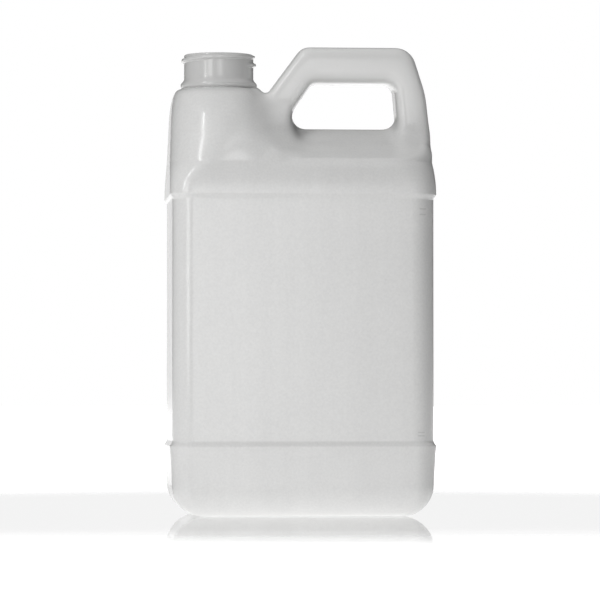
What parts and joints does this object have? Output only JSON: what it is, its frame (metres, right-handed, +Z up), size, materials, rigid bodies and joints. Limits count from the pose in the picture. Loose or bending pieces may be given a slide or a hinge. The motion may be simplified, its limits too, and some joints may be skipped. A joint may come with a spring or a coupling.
{
  "type": "f-style bottle",
  "caption": "Blow-moulded F-style bottle of natural translucent plastic, with an offset threaded neck, a hollow grip handle and a recessed label panel.",
  "frame": {"origin": "middle of the base, on the surface that the bottle stands on", "axes": "+Z up, X along the wide side with the neck at -X and the handle at +X, Y from front to back"},
  "size_m": [0.132, 0.086, 0.2345],
  "materials": {
    "natural_plastic": "satin, natural milky"
  },
  "bodies": {
    "root": {"bottle": "natural_plastic"}
  },
  "joints": []
}
